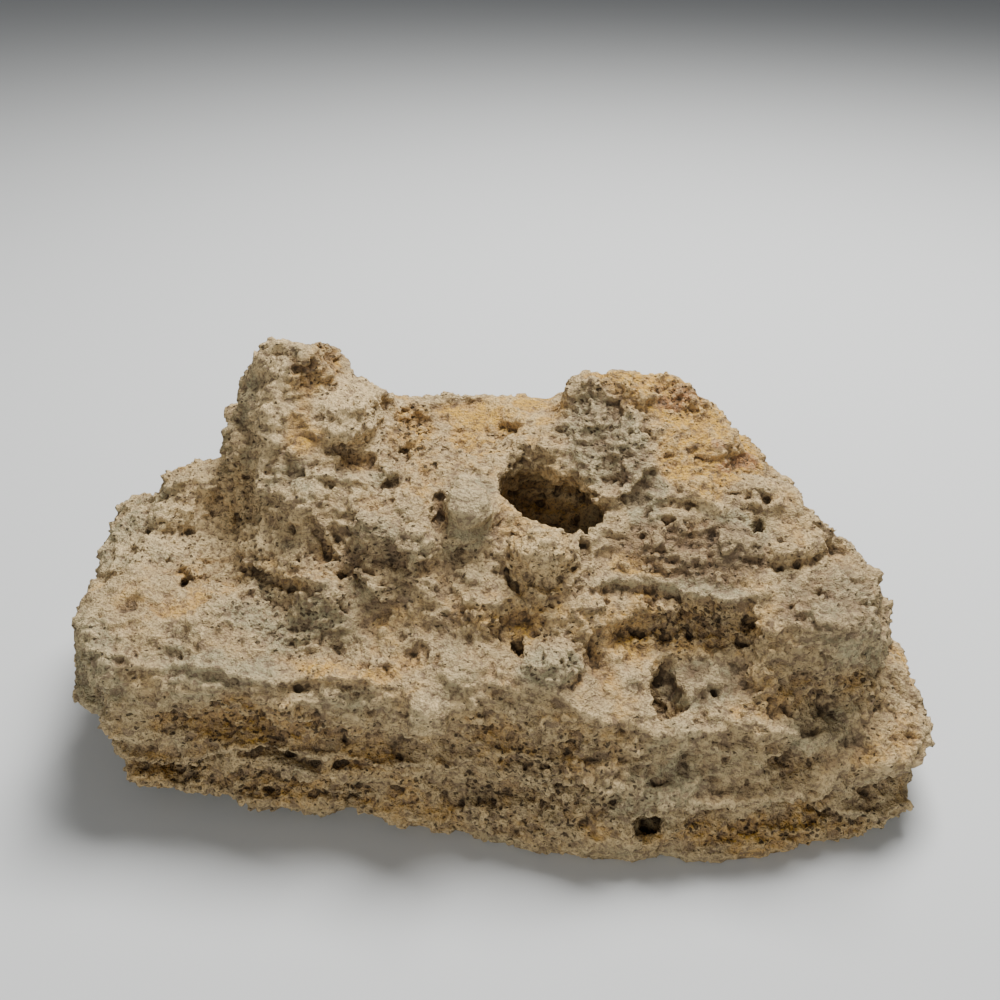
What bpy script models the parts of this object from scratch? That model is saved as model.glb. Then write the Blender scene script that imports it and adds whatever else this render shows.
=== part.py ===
"""Fossil coral head: one loose block of porous, layered reef limestone.

A low slab carries a spur at its left, a rounded dome at its right and a saddle between them. An open
cavity goes down into the rock in front of the saddle. The growth layers show as ledges around the
sides. The block lies on a flat patch under its middle and right, with its left front edge clear of
the ground. X is the long direction, Y goes to the back and Z is up, all in metres.
"""
import math

import bmesh
import bpy
from mathutils import Matrix, Vector, noise

MM = 0.001
NAME = "coral_head"
CELL = 2.6
TRIANGLES = 9300
REST_CUT = 1.6

# Corner points of the main masses, in millimetres: each mass is the convex hull of its corners.
MASSES = {
    "left_bench": [
        (-131, -93, 11), (-69, -104, 9), (-12, -111, 3), (-149, -62, 17), (-152, -10, 16), (-120, 30, 6),
        (-66, -52, 0), (-72, 10, 0), (-60, 60, 0), (0, 62, 0),
        (-161, -43, 51), (-155, -66, 47), (-138, -88, 62), (-93, -95, 61), (-40, -98, 60), (-5, -98, 60),
        (-160, 14, 62), (-147, 31, 64), (-130, 46, 70), (-60, 62, 66), (0, 64, 66), (-130, -60, 70),
    ],
    "right_base": [
        (-22, -111, 3), (41, -122, -3), (90, -118, -1), (136, -110, 4), (148, -94, 10), (157, -72, 12),
        (156, -20, 8), (120, 30, 0), (60, 62, 0), (0, 64, 0), (-17, -98, 59), (15, -104, 55),
        (50, -107, 49), (95, -106, 45), (128, -103, 38), (151, -87, 37), (152, -62, 39), (144, -20, 40),
        (125, 28, 58), (60, 62, 70), (0, 66, 70),
    ],
    "middle": [
        (-60, -20, 97), (-30, -24, 100), (0, -22, 100), (22, -28, 98), (-34, 43, 104), (0, 46, 105),
        (34, 46, 104), (-66, -74, 66), (-20, -84, 69), (20, -82, 68), (50, -70, 72), (-60, 62, 60),
        (60, 62, 60), (60, -30, 90), (-60, -80, 40), (60, -80, 40),
    ],
    "front_slope": [
        (-66, -93, 60), (-20, -97, 58), (20, -101, 53), (60, -101, 49), (100, -99, 46), (130, -92, 43),
        (-60, -72, 69), (-20, -80, 71), (20, -76, 73), (50, -62, 72), (80, -60, 68), (110, -64, 64),
        (130, -64, 58), (-60, -60, 30), (130, -60, 30), (130, -10, 60), (60, 0, 70),
    ],
    "spur": [
        (-99, -34, 64), (-123, 42, 68), (-95, 2, 112), (-99, 25, 130), (-88, 22, 139), (-80, 18, 140),
        (-70, 18, 128), (-55, -22, 96), (-74, -62, 68), (-45, 8, 108), (-42, 38, 100), (-60, 62, 66),
        (-118, 60, 66), (-92, 36, 128), (-74, 34, 118),
    ],
    "dome": [
        (29, 22, 113), (45, 26, 120), (62, 28, 121), (77, 27, 117), (90, 25, 103), (24, -4, 99),
        (40, -24, 97), (62, -32, 95), (86, -22, 96), (97, -12, 92), (106, 2, 86), (104, 40, 80),
        (60, 62, 78), (18, 60, 84), (40, -40, 80), (110, -30, 78), (60, 40, 40), (130, 0, 60),
    ],
    "right_shoulder": [
        (32, -64, 76), (60, -65, 77), (92, -72, 76), (118, -78, 76), (132, -70, 73), (138, -56, 67),
        (143, -46, 57), (126, -38, 83), (104, -32, 93), (75, -36, 93), (50, -44, 90), (108, -82, 62),
        (130, -82, 58), (138, -68, 54), (140, -30, 54), (134, -5, 60), (60, 0, 80), (60, -50, 60),
        (110, -50, 52),
    ],
}

# Smaller angular masses, added after the main masses have been rounded off.
BLOCKS = {
    "spur_block": [
        (-81, 25, 127), (-66, 25, 125), (-66, 41, 124), (-81, 41, 126), (-82, 25, 104), (-63, 25, 104),
        (-63, 45, 104), (-86, 45, 104),
    ],
    "spur_shelf": [
        (-78, -38, 92), (-72, -30, 101), (-58, -26, 101), (-42, -18, 99), (-36, -26, 90), (-56, -42, 86),
        (-74, -44, 86), (-34, 0, 97), (-66, 0, 104), (-60, -20, 80),
    ],
    "dome_end": [
        (26, 19, 118), (26, 32, 118), (44, 19, 121), (44, 34, 121), (22, 14, 100), (22, 36, 100),
        (50, 12, 100), (50, 38, 100),
    ],
    "dome_rib": [
        (33, -38, 88), (36, -33, 95), (46, -27, 99), (60, -20, 103), (64, -24, 100), (58, -32, 92),
        (44, -42, 87), (48, -20, 90),
    ],
    "bench_lip": [
        (-148, -66, 66), (-138, -74, 70), (-112, -78, 71), (-96, -70, 71), (-132, -40, 74), (-150, -40, 68),
        (-120, -50, 60), (-140, -84, 62),
    ],
}

# Rounded lumps: centre and radii of an ellipsoid, then its turn about Z in degrees.
LUMPS = {
    "egg": ((-12, -42, 88), (10, 10, 13), 0),
    "cavity_sill": ((15, -54, 80), (13, 9, 13), 0),
    "cavity_left_lip": ((-1, -32, 93), (6, 11, 7), 10),
    "right_nodule": ((121, -38, 80), (7, 7, 7), 0),
    "slope_lump": ((16, -90, 60), (14, 10, 11), 10),
    "right_boss": ((110, -72, 66), (23, 18, 15), 10),
    "right_boss_low": ((90, -80, 62), (11, 9, 10), 0),
    "recess_sill": ((88, -98, 45), (14, 10, 10), 0),
    "corner_lobe": ((120, -88, 27), (25, 18, 16), -8),
    "front_lobe": ((42, -110, 16), (28, 13, 15), 0),
    "bench_knob": ((-124, -58, 68), (13, 11, 7), 0),
    "bench_corner": ((-140, -60, 60), (12, 16, 9), 20),
    "spur_rib": ((-87, -1, 105), (7, 9, 22), 0),
    "spur_flare": ((-121, 18, 65), (22, 16, 19), 0),
    "spur_shoulder": ((-49, 15, 105), (12, 12, 10), 0),
    "rim_ledge": ((20, -6, 98), (20, 7, 5), -38),
    "shoulder_lump": ((84, -49, 84), (11, 8, 8), 0),
    "shoulder_lump_right": ((103, -50, 81), (10, 8, 8), 0),
    "spur_knuckle": ((-57, -4, 111), (10, 10, 9), 0),
    "spur_foot": ((-62, -62, 70), (13, 10, 9), -20),
    "spur_wall_rib": ((-44, -46, 82), (7, 12, 14), 0),
    "spur_wall_rib_right": ((-29, -50, 82), (7, 12, 10), 0),
    "dome_knuckle": ((74, -32, 93), (11, 9, 9), 0),
    "dome_shoulder": ((96, -24, 90), (12, 10, 9), 0),
    "slope_knob": ((-8, -74, 72), (9, 8, 7), 0),
    "left_front_knob": ((-128, -84, 42), (12, 14, 12), 0),
    "front_pale_knob": ((-26, -100, 52), (9, 8, 9), 0),
    "rear_lobe": ((-40, 58, 42), (34, 16, 20), 0),
    "rear_knob": ((70, 58, 62), (22, 14, 14), 15),
    "rear_foot": ((108, 36, 22), (26, 16, 16), -30),
    "rear_left_knob": ((-112, 36, 48), (18, 16, 14), 20),
}

# The cavity and the larger hollows, in the same terms.
HOLLOWS = {
    "cavity_mouth": ((19.5, -26, 90), (20.5, 17.5, 24), -37),
    "cavity_corner": ((12, -9, 92), (8, 7, 16), -20),
    "cavity_chamber": ((20, -12, 75), (25, 22, 15), 0),
    "spur_scoop": ((-71, -19, 120), (11, 15, 13), 20),
    "spur_notch": ((-72, 12, 124), (7, 7, 6), 0),
    "spur_flute_a": ((-112, -2, 92), (6, 12, 20), 30),
    "spur_flute_b": ((-107, -32, 78), (5, 8, 18), 30),
    "shelf_undercut": ((-60, -50, 82), (16, 9, 5), 10),
    "egg_crevice": ((-24, -44, 94), (4, 10, 11), 0),
    "shell_scoop": ((52, -38, 100), (8, 12, 11), 20),
    "dome_valley": ((32, -4, 114), (9, 22, 12), 25),
    "shoulder_gap": ((92, -46, 92), (6, 10, 8), 0),
    "saddle_dip": ((-16, 14, 116), (30, 26, 21), 0),
    "saddle_pocket": ((-37, -3, 103), (6, 6, 6), 0),
    "shelf_recess": ((-50, -15, 103), (9, 6, 5), 0),
    "arch_hollow": ((90, -99, 56), (8, 6, 4.5), 0),
    "arch_hollow_low": ((98, -111, 41), (9, 6, 4), 0),
    "lip_recess": ((62, -84, 66), (28, 16, 8), 0),
    "lip_recess_end": ((80, -84, 66), (9, 14, 9), 0),
    "sill_recess": ((8, -84, 74), (14, 12, 7), 0),
    "bowl": ((50, -102, 68), (24, 17, 16), 0),
    "slot": ((56, -88, 53.5), (2.8, 14, 6.5), 0),
    "boss_recess": ((112, -97, 50), (19, 12, 7), 10),
    "right_notch": ((151, -52, 45), (9, 22, 6), 0),
    "front_pocket": ((50, -120, 18), (5, 9, 5.5), 0),
    "bench_dish": ((-116, -18, 86), (30, 26, 20), 10),
    "bench_pit": ((-111, -46, 74), (8, 8, 7), 0),
    "left_front_gap": ((-146, -80, 56), (7, 14, 5), 20),
    "rear_hollow": ((16, 76, 46), (28, 18, 20), 0),
    "rear_groove": ((-106, 60, 40), (16, 22, 12), 35),
    "rear_dome_hollow": ((40, 64, 92), (20, 16, 14), 0),
    "left_hollow": ((-172, -18, 32), (14, 24, 9), 0),
    "right_hollow": ((170, 0, 26), (18, 20, 10), 0),
    "under_right": ((104, -62, -12), (40, 26, 17), -15),
    "under_middle": ((6, -34, -11), (34, 24, 16), 20),
    "under_rear": ((52, 22, -12), (44, 20, 16), 10),
    "under_left": ((-62, 30, -10), (26, 24, 15), 0),
}

# Growth layers: height in the layer sequence, half thickness and how far the ledge stands out or sits back.
LAYERS = [
    (11, 3.0, 1.6), (21, 4.5, -5.0), (32, 3.0, 3.2), (40, 4.0, -2.6), (49, 3.0, 1.2), (59, 4.0, 2.4),
    (68, 3.5, -2.4), (76, 3.0, 1.6), (84, 3.0, -1.8), (91, 3.0, 1.8), (99, 3.5, -1.6), (108, 4.0, 1.6),
    (116, 3.0, -1.6), (124, 4.0, 1.4),
]


def clear_scene():
    for obj in list(bpy.data.objects):
        bpy.data.objects.remove(obj)


def add_hull(shape, corners):
    part = bmesh.new()
    for corner in corners:
        part.verts.new(Vector(corner) * MM)
    bmesh.ops.convex_hull(part, input=part.verts)
    bmesh.ops.delete(part, geom=[v for v in part.verts if not v.link_faces], context="VERTS")
    mesh = bpy.data.meshes.new("hull")
    part.to_mesh(mesh)
    part.free()
    shape.from_mesh(mesh)
    bpy.data.meshes.remove(mesh)


def add_ellipsoid(shape, centre, radii, turn):
    place = Matrix.Translation(Vector(centre) * MM) @ Matrix.Rotation(math.radians(turn), 4, "Z")
    size = Matrix.Diagonal([r * MM for r in radii] + [1])
    bmesh.ops.create_icosphere(shape, subdivisions=3, radius=1.0, matrix=place @ size)


def to_object(shape, name):
    mesh = bpy.data.meshes.new(name)
    shape.to_mesh(mesh)
    shape.free()
    obj = bpy.data.objects.new(name, mesh)
    bpy.context.scene.collection.objects.link(obj)
    return obj


def remesh(obj, smoothing):
    fuse = obj.modifiers.new("fuse", "REMESH")
    fuse.mode = "VOXEL"
    fuse.voxel_size = CELL * MM
    soften = obj.modifiers.new("soften", "SMOOTH")
    soften.iterations = smoothing
    soften.factor = 0.5


def bake(obj):
    """Return the object's evaluated mesh as a bmesh, and remove the object."""
    bpy.context.view_layer.update()
    evaluated = obj.evaluated_get(bpy.context.evaluated_depsgraph_get())
    mesh = bpy.data.meshes.new_from_object(evaluated)
    bpy.data.objects.remove(obj)
    shape = bmesh.new()
    shape.from_mesh(mesh)
    bpy.data.meshes.remove(mesh)
    return shape


def rounded_masses():
    shape = bmesh.new()
    for corners in MASSES.values():
        add_hull(shape, corners)
    core = to_object(shape, "core")
    remesh(core, 14)
    return bake(core)


def with_lumps(shape):
    for corners in BLOCKS.values():
        add_hull(shape, corners)
    for centre, radii, turn in LUMPS.values():
        add_ellipsoid(shape, centre, radii, turn)
    core = to_object(shape, "core")
    remesh(core, 3)
    return bake(core)


def cut(shape, cutter):
    core = to_object(shape, "core")
    boolean = core.modifiers.new("hollow", "BOOLEAN")
    boolean.operation = "DIFFERENCE"
    boolean.solver = "EXACT"
    boolean.object = cutter
    result = bake(core)
    bpy.data.objects.remove(cutter)
    return result


def hollow_cutter():
    shape = bmesh.new()
    for centre, radii, turn in HOLLOWS.values():
        add_ellipsoid(shape, centre, radii, turn)
    cutter = to_object(shape, "hollows")
    remesh(cutter, 1)
    return to_object(bake(cutter), "hollows")


def ground_cutter():
    shape = bmesh.new()
    place = Matrix.Translation((0, 0, (REST_CUT - 50) * MM)) @ Matrix.Diagonal((0.5, 0.5, 0.1, 1))
    bmesh.ops.create_cube(shape, size=1.0, matrix=place)
    return to_object(shape, "ground")


def layer_relief(point, steepness):
    """How far the growth layers move a point on a steep side, in millimetres."""
    height = point.z + 7 * noise.noise(point / 70) + 0.03 * point.x
    relief = 0.0
    for level, half, out in LAYERS:
        relief += out * math.exp(-(((height - level) / half) ** 2))
    return relief * steepness


def rear_relief(point):
    """Broad swells that grow towards the back of the block."""
    return 13 * noise.noise(point / 52 + Vector((3, 0, 5))) * min(1.0, max(0.0, (point.y - 8) / 40))


def pit_relief(point):
    distance = noise.voronoi(point / 18)[0][0]
    depth = max(0.0, 1 - (distance / 0.36) ** 2)
    return -5.2 * depth


def weather(shape):
    """Move the surface by the growth layers, by broad lumps and by pits."""
    shape.normal_update()
    moves = []
    for vert in shape.verts:
        point = vert.co / MM
        steepness = min(1.0, 1.25 * math.sqrt(max(0.0, 1 - vert.normal.z ** 2)))
        relief = layer_relief(point, steepness) + pit_relief(point) + rear_relief(point)
        relief += 2.6 * noise.noise(point / 34) + 6.0 * (abs(noise.noise(point / 20)) - 0.22)
        moves.append(vert.normal * relief * MM)
    for vert, move in zip(shape.verts, moves):
        vert.co += move


def settle(shape):
    """Put the origin under the middle of the bounding box."""
    low = Vector([min(v.co[i] for v in shape.verts) for i in range(3)])
    high = Vector([max(v.co[i] for v in shape.verts) for i in range(3)])
    middle = (low + high) / 2
    bmesh.ops.translate(shape, verts=shape.verts, vec=(-middle.x, -middle.y, -low.z))


def thin_out(shape):
    core = to_object(shape, "core")
    triangulate = core.modifiers.new("triangulate", "TRIANGULATE")
    triangulate.keep_custom_normals = False
    decimate = core.modifiers.new("thin", "DECIMATE")
    decimate.ratio = TRIANGLES / (2 * len(core.data.polygons))
    return bake(core)


def stone_material():
    material = bpy.data.materials.new("reef_limestone")
    material.use_nodes = True
    shader = material.node_tree.nodes["Principled BSDF"]
    shader.inputs["Base Color"].default_value = (0.47, 0.37, 0.25, 1)
    shader.inputs["Roughness"].default_value = 0.95
    shader.inputs["Metallic"].default_value = 0.0
    return material


def main():
    clear_scene()
    shape = with_lumps(rounded_masses())
    shape = cut(shape, hollow_cutter())
    weather(shape)
    core = to_object(shape, "core")
    remesh(core, 1)
    shape = thin_out(bake(core))
    shape = cut(shape, ground_cutter())
    bmesh.ops.triangulate(shape, faces=shape.faces)
    settle(shape)
    head = to_object(shape, NAME)
    bpy.context.scene.collection.objects.unlink(head)
    rock = bpy.data.collections.new("fossil_coral_head")
    bpy.context.scene.collection.children.link(rock)
    rock.objects.link(head)
    head.data.materials.append(stone_material())
    head.data.shade_smooth()
    head.data.set_sharp_from_angle(angle=math.radians(50))


main()
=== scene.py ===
"""Fossil coral head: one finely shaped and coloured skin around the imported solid.

The solid is remeshed and pushed out and in along its normals: first by broad lumps and by the forms that
the photograph shows, then by pits and at last by fine grain. Lengths are in millimetres, and MM turns them
into Blender's metres. Only the stage at the end is given in metres.
"""
import math

import bmesh
import bpy
import numpy as np
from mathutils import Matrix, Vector


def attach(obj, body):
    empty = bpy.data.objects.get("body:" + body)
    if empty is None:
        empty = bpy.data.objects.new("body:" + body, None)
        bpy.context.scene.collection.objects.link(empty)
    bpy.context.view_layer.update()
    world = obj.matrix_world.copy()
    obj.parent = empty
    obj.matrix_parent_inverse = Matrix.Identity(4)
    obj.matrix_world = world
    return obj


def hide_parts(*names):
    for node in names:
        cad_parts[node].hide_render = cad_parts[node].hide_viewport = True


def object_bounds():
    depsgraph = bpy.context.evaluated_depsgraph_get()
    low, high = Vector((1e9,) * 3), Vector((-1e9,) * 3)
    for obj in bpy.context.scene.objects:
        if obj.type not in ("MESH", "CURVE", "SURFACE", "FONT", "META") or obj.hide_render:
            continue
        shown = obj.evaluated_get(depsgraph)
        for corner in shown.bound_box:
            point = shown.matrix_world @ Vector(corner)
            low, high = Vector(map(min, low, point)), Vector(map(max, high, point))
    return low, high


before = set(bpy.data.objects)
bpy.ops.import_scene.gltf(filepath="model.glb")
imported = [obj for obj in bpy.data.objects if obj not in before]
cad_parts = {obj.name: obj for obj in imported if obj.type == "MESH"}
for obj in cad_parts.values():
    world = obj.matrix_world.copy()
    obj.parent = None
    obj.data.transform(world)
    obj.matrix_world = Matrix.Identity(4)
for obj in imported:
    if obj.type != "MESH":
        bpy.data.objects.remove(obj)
cad_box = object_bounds()

MM = 0.001
COARSE_VOXEL = 1.0
FINE_VOXEL = 0.75
FACET_SMOOTHING = 12

# How far the skin stays inside the solid's box.
BOX_MARGIN = 0.05

# Triangles of the whole skin, and of its sides towards and away from the camera before the last thinning.
TRIANGLES = 196000
SEEN_TRIANGLES = 132000
HIDDEN_TRIANGLES = 54000

# ---------------------------------------------------------------- noise
NOISE_SEED = 20
TABLE = 1 << 15
AXIS_HASH = (73856093, 19349663, 83492791)
SEED_HASH = 2654435761
NOISE_GAIN = 1.6

# The scattered centres keep to the middle of their cells: from CENTRE_START on, over CENTRE_SPAN.
CENTRE_START = 0.2
CENTRE_SPAN = 0.6
OUT_OF_REACH = 9.0

CUBE_CORNERS = [np.array([k & 1, k >> 1 & 1, k >> 2 & 1]) for k in range(8)]

RNG = np.random.default_rng(NOISE_SEED)
GRADIENTS = RNG.normal(size=(TABLE, 3))
GRADIENTS /= np.linalg.norm(GRADIENTS, axis=1)[:, None]
GRADIENTS = GRADIENTS.astype(np.float32)
CELLS = RNG.random((TABLE, 4)).astype(np.float32)


def table_row(cell, seed):
    """The row of the random tables that belongs to each cell of a cubic lattice."""
    x, y, z = (cell[..., axis] * AXIS_HASH[axis] for axis in range(3))
    mixed = x ^ y ^ z ^ (seed * SEED_HASH)
    return (mixed ^ (mixed >> 13)) & (TABLE - 1)


def perlin(points, scale, seed=0):
    """Smooth noise of about -1 to 1, with features about scale across."""
    p = points / scale
    base = np.floor(p)
    part = (p - base).astype(np.float32)
    base = base.astype(np.int64)
    fade = part * part * part * (part * (part * 6 - 15) + 10)
    total = np.zeros(len(p), np.float32)
    for step in CUBE_CORNERS:
        gradient = GRADIENTS[table_row(base + step, seed)]
        away = part - step.astype(np.float32)
        weight = np.prod(np.where(step == 1, fade, 1 - fade), axis=1)
        total += weight * np.einsum("ij,ij->i", gradient, away)
    return total * NOISE_GAIN


def fractal(points, scale, octaves, seed=0):
    """Noise with finer and weaker noise on it."""
    total, size, weight = 0, 1.0, 0.0
    for octave in range(octaves):
        total = total + size * perlin(points, scale / 2**octave, seed + octave)
        weight += size
        size *= 0.5
    return total / weight


def billow(points, scale, seed=0):
    """Rounded lumps with creases between them, 0 to about 1."""
    return np.abs(perlin(points, scale, seed)) * 2


def worley(points, scale, seed=0):
    """Distances to the nearest and second nearest of scattered centres, in cells, and the nearest one's own
    number, 0 to 1."""
    p = points / scale
    base = np.floor(p).astype(np.int64)
    near = np.full(len(p), OUT_OF_REACH, np.float32)
    second = np.full(len(p), OUT_OF_REACH, np.float32)
    own = np.zeros(len(p), np.float32)
    side = np.where(p - base > 0.5, 1, -1)
    for step in CUBE_CORNERS:
        cell = base + step * side
        values = CELLS[table_row(cell, seed)]
        centre = cell + CENTRE_START + CENTRE_SPAN * values[:, :3]
        gap = np.sqrt(np.sum((p - centre) ** 2, axis=1)).astype(np.float32)
        closer = gap < near
        second = np.where(closer, near, np.minimum(second, gap))
        own = np.where(closer, values[:, 3], own)
        near = np.where(closer, gap, near)
    return near, second, own


def step_up(value, low, high):
    """0 at low, 1 at high and a smooth rise between them."""
    t = np.clip((value - low) / (high - low), 0, 1)
    return t * t * (3 - 2 * t)


def shifted(p, size, reach, seed):
    """The points moved about by noise, so that what is drawn from them isn't regular."""
    return p + reach * np.stack([perlin(p, size, seed + k) for k in range(3)], 1)


def shifted_in_view(uv, p, size, reach, seed):
    """The same for places in the view: size is still in mm, and reach is in pixels."""
    return uv + reach * np.stack([perlin(p, size, seed + k) for k in range(2)], 1)


# ---------------------------------------------------------------- mesh
def evaluated(obj):
    bpy.context.view_layer.update()
    return bpy.data.meshes.new_from_object(obj.evaluated_get(bpy.context.evaluated_depsgraph_get()))


def work_object(mesh):
    obj = bpy.data.objects.new("work", mesh)
    bpy.context.scene.collection.objects.link(obj)
    return obj


def remeshed(mesh, voxel, smoothing):
    obj = work_object(mesh)
    fuse = obj.modifiers.new("fuse", "REMESH")
    fuse.mode = "VOXEL"
    fuse.voxel_size = voxel * MM
    if smoothing:
        soften = obj.modifiers.new("soften", "SMOOTH")
        soften.iterations = smoothing
        soften.factor = 0.5
    result = evaluated(obj)
    bpy.data.objects.remove(obj)
    return result


def corners(mesh):
    mesh.calc_loop_triangles()
    flat = np.empty(len(mesh.loop_triangles) * 3, np.int32)
    mesh.loop_triangles.foreach_get("vertices", flat)
    return flat.reshape(-1, 3)


def thinned(mesh, triangles, chosen):
    """About that many triangles left among the chosen vertices, and the others untouched."""
    obj = work_object(mesh)
    obj.vertex_groups.clear()
    obj.vertex_groups.new(name="chosen").add(np.nonzero(chosen)[0].tolist(), 1.0, "REPLACE")
    inside = chosen[corners(mesh)].all(axis=1)
    thin = obj.modifiers.new("thin", "DECIMATE")
    thin.ratio = min(1.0, (np.sum(~inside) + triangles) / len(inside))
    thin.vertex_group = "chosen"
    result = evaluated(obj)
    bpy.data.objects.remove(obj)
    return result


def without_specks(mesh):
    """Drop the few triangles that the thinning has cut loose or doubled."""
    shape = bmesh.new()
    shape.from_mesh(mesh)
    loose = [v for v in shape.verts if all(edge.is_boundary for edge in v.link_edges)]
    bmesh.ops.delete(shape, geom=loose, context="VERTS")
    shape.to_mesh(mesh)
    shape.free()
    mesh.validate()


def coordinates(mesh):
    flat = np.empty(len(mesh.vertices) * 3, np.float32)
    mesh.vertices.foreach_get("co", flat)
    return flat.reshape(-1, 3).astype(np.float64) / MM


def normals(mesh):
    flat = np.empty(len(mesh.vertices) * 3, np.float32)
    mesh.vertices.foreach_get("normal", flat)
    return flat.reshape(-1, 3).astype(np.float64)


def edge_ends(mesh):
    flat = np.empty(len(mesh.edges) * 2, np.int32)
    mesh.edges.foreach_get("vertices", flat)
    return flat.reshape(-1, 2)


def place(mesh, points):
    mesh.vertices.foreach_set("co", (points * MM).astype(np.float32).ravel())
    mesh.update()


def averaged(values, ends, rounds):
    """Values spread over the mesh's edges, by repeated averaging with the neighbours."""
    count = np.bincount(ends.ravel(), minlength=len(values))[:, None] + 1.0
    for _ in range(rounds):
        total = values.copy()
        for k in range(values.shape[1]):
            total[:, k] += np.bincount(ends[:, 0], values[ends[:, 1], k], len(values))
            total[:, k] += np.bincount(ends[:, 1], values[ends[:, 0], k], len(values))
        values = total / count
    return values


# ---------------------------------------------------------------- the photograph's view
# FOCUS is the focal length in pixels of a square view, VIEW_WIDTH pixels wide. SHIFT is how far the block
# has been moved from the origin that CAMERA and FORMS are measured from.
SHIFT = np.array([2.225, 21.605, -1.6])
CAMERA = np.array([0, -375, 300]) + SHIFT
PITCH = math.radians(31)
VIEW_WIDTH = 1000
FOCUS = 1100
SENSOR = 36
FORWARD = np.array([0, math.cos(PITCH), -math.sin(PITCH)])
DOWN = np.array([0, -math.sin(PITCH), -math.cos(PITCH)])

# The cosines between which a surface passes from hidden to fully seen.
HARDLY_SEEN = -0.05
FULLY_SEEN = 0.25

# How often the directions of neighbours are averaged, to leave out the small forms.
FACING_ROUNDS = 30


def as_seen(p, n):
    """Where each point falls in the view, in pixels, and how far it faces the camera, 0 to 1."""
    away = p - CAMERA
    depth = away @ FORWARD
    middle = VIEW_WIDTH / 2
    uv = np.stack([middle + FOCUS * away[:, 0] / depth, middle + FOCUS * (away @ DOWN) / depth], 1)
    cosine = -np.einsum("ij,ij->i", away, n) / np.linalg.norm(away, axis=1)
    return uv, step_up(cosine, HARDLY_SEEN, FULLY_SEEN)


def seen(mesh):
    """Whether the surroundings of each vertex, some 10 mm across, face the camera."""
    n = averaged(normals(mesh), edge_ends(mesh), FACING_ROUNDS)
    n /= np.linalg.norm(n, axis=1)[:, None] + 1e-9
    return as_seen(coordinates(mesh), n)[1] > 0.5


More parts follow.
